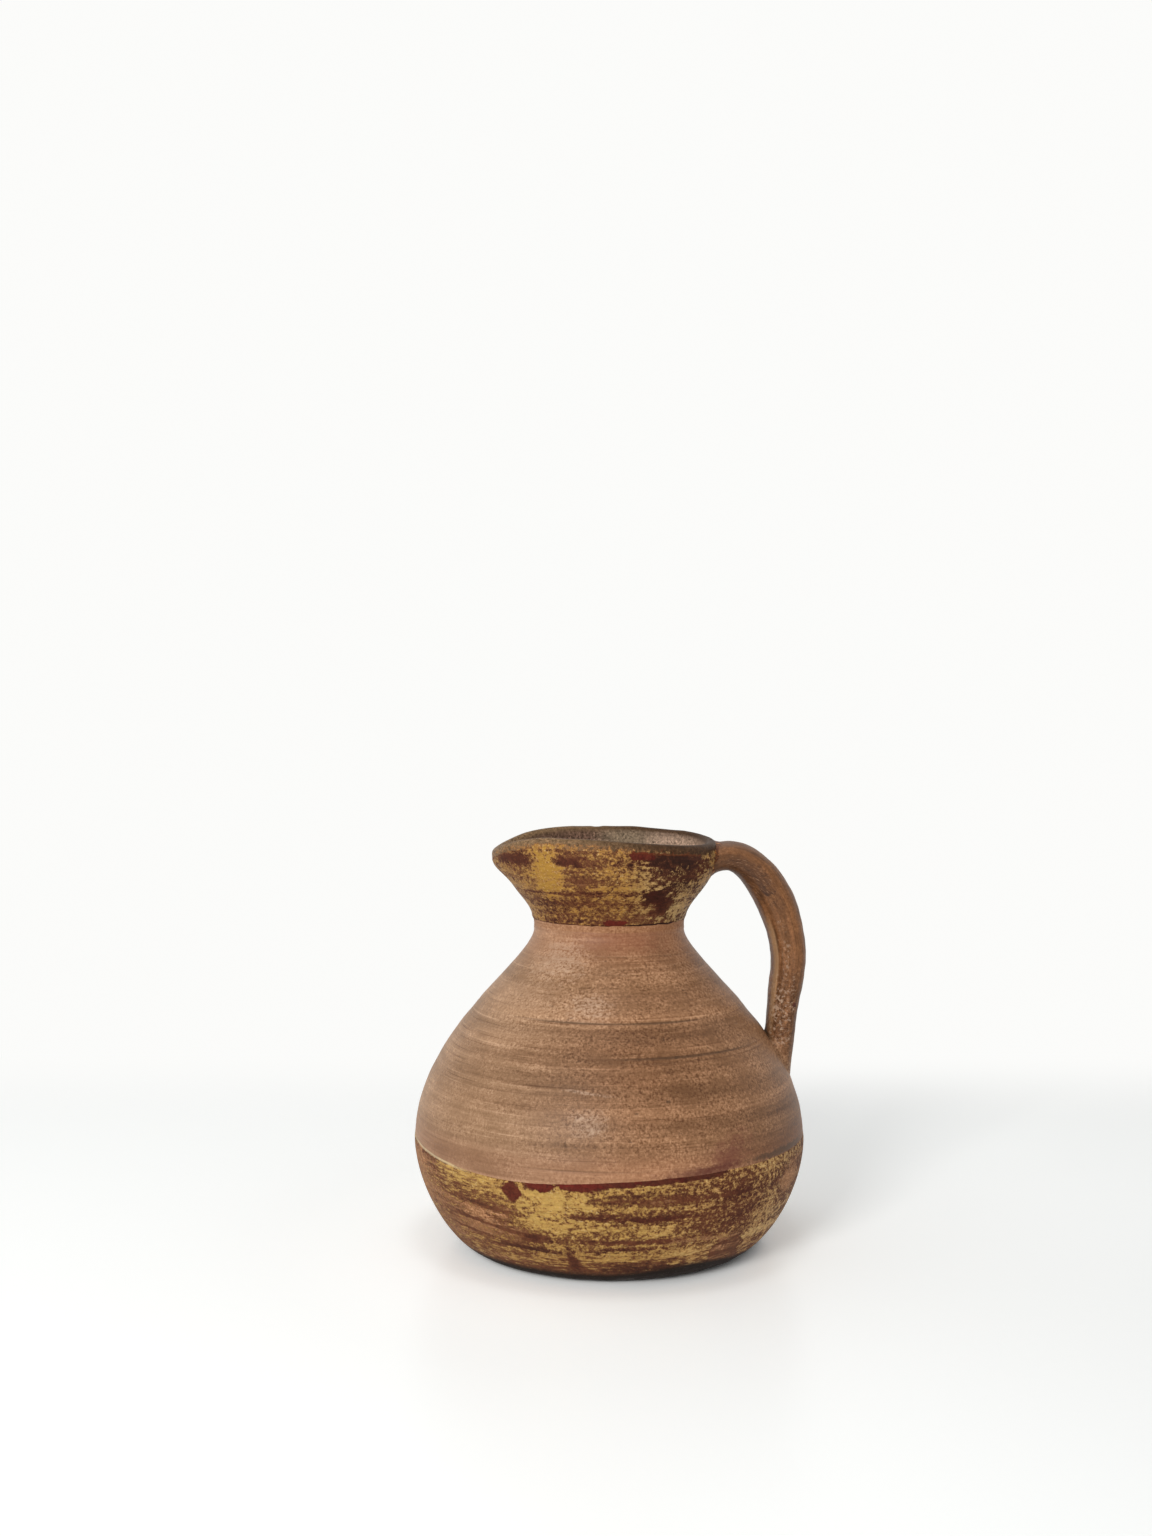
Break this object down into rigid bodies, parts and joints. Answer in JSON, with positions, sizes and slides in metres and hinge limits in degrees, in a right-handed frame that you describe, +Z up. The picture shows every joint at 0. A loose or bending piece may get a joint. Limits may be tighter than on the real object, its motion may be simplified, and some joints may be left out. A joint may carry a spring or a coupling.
{
  "type": "ceramic jug",
  "caption": "Squat thrown earthenware jug with a flared collar, a lip pulled to a low spout, a strap handle and worn gilt bands; it holds and pours liquid.",
  "frame": {"origin": "centre of the base, on the surface that the jug stands on", "axes": "+Z up along the turning axis, +X towards the handle, -X towards the spout"},
  "size_m": [0.14, 0.1394, 0.1457],
  "materials": {
    "bare_clay": "bare fired clay, rubbed to a dull sheen",
    "handle_clay": "bare fired clay, rubbed by hands",
    "worn_gilding": "worn gilding over a red ground"
  },
  "bodies": {
    "root": {"thrown_body": "bare_clay", "neck_luting_ring": "bare_clay", "neck_collar": "bare_clay", "strap_handle": "handle_clay", "handle_top_luting": "handle_clay", "handle_foot_luting": "handle_clay", "belly_gilt_band": "worn_gilding", "neck_gilt_band": "worn_gilding"}
  },
  "joints": []
}
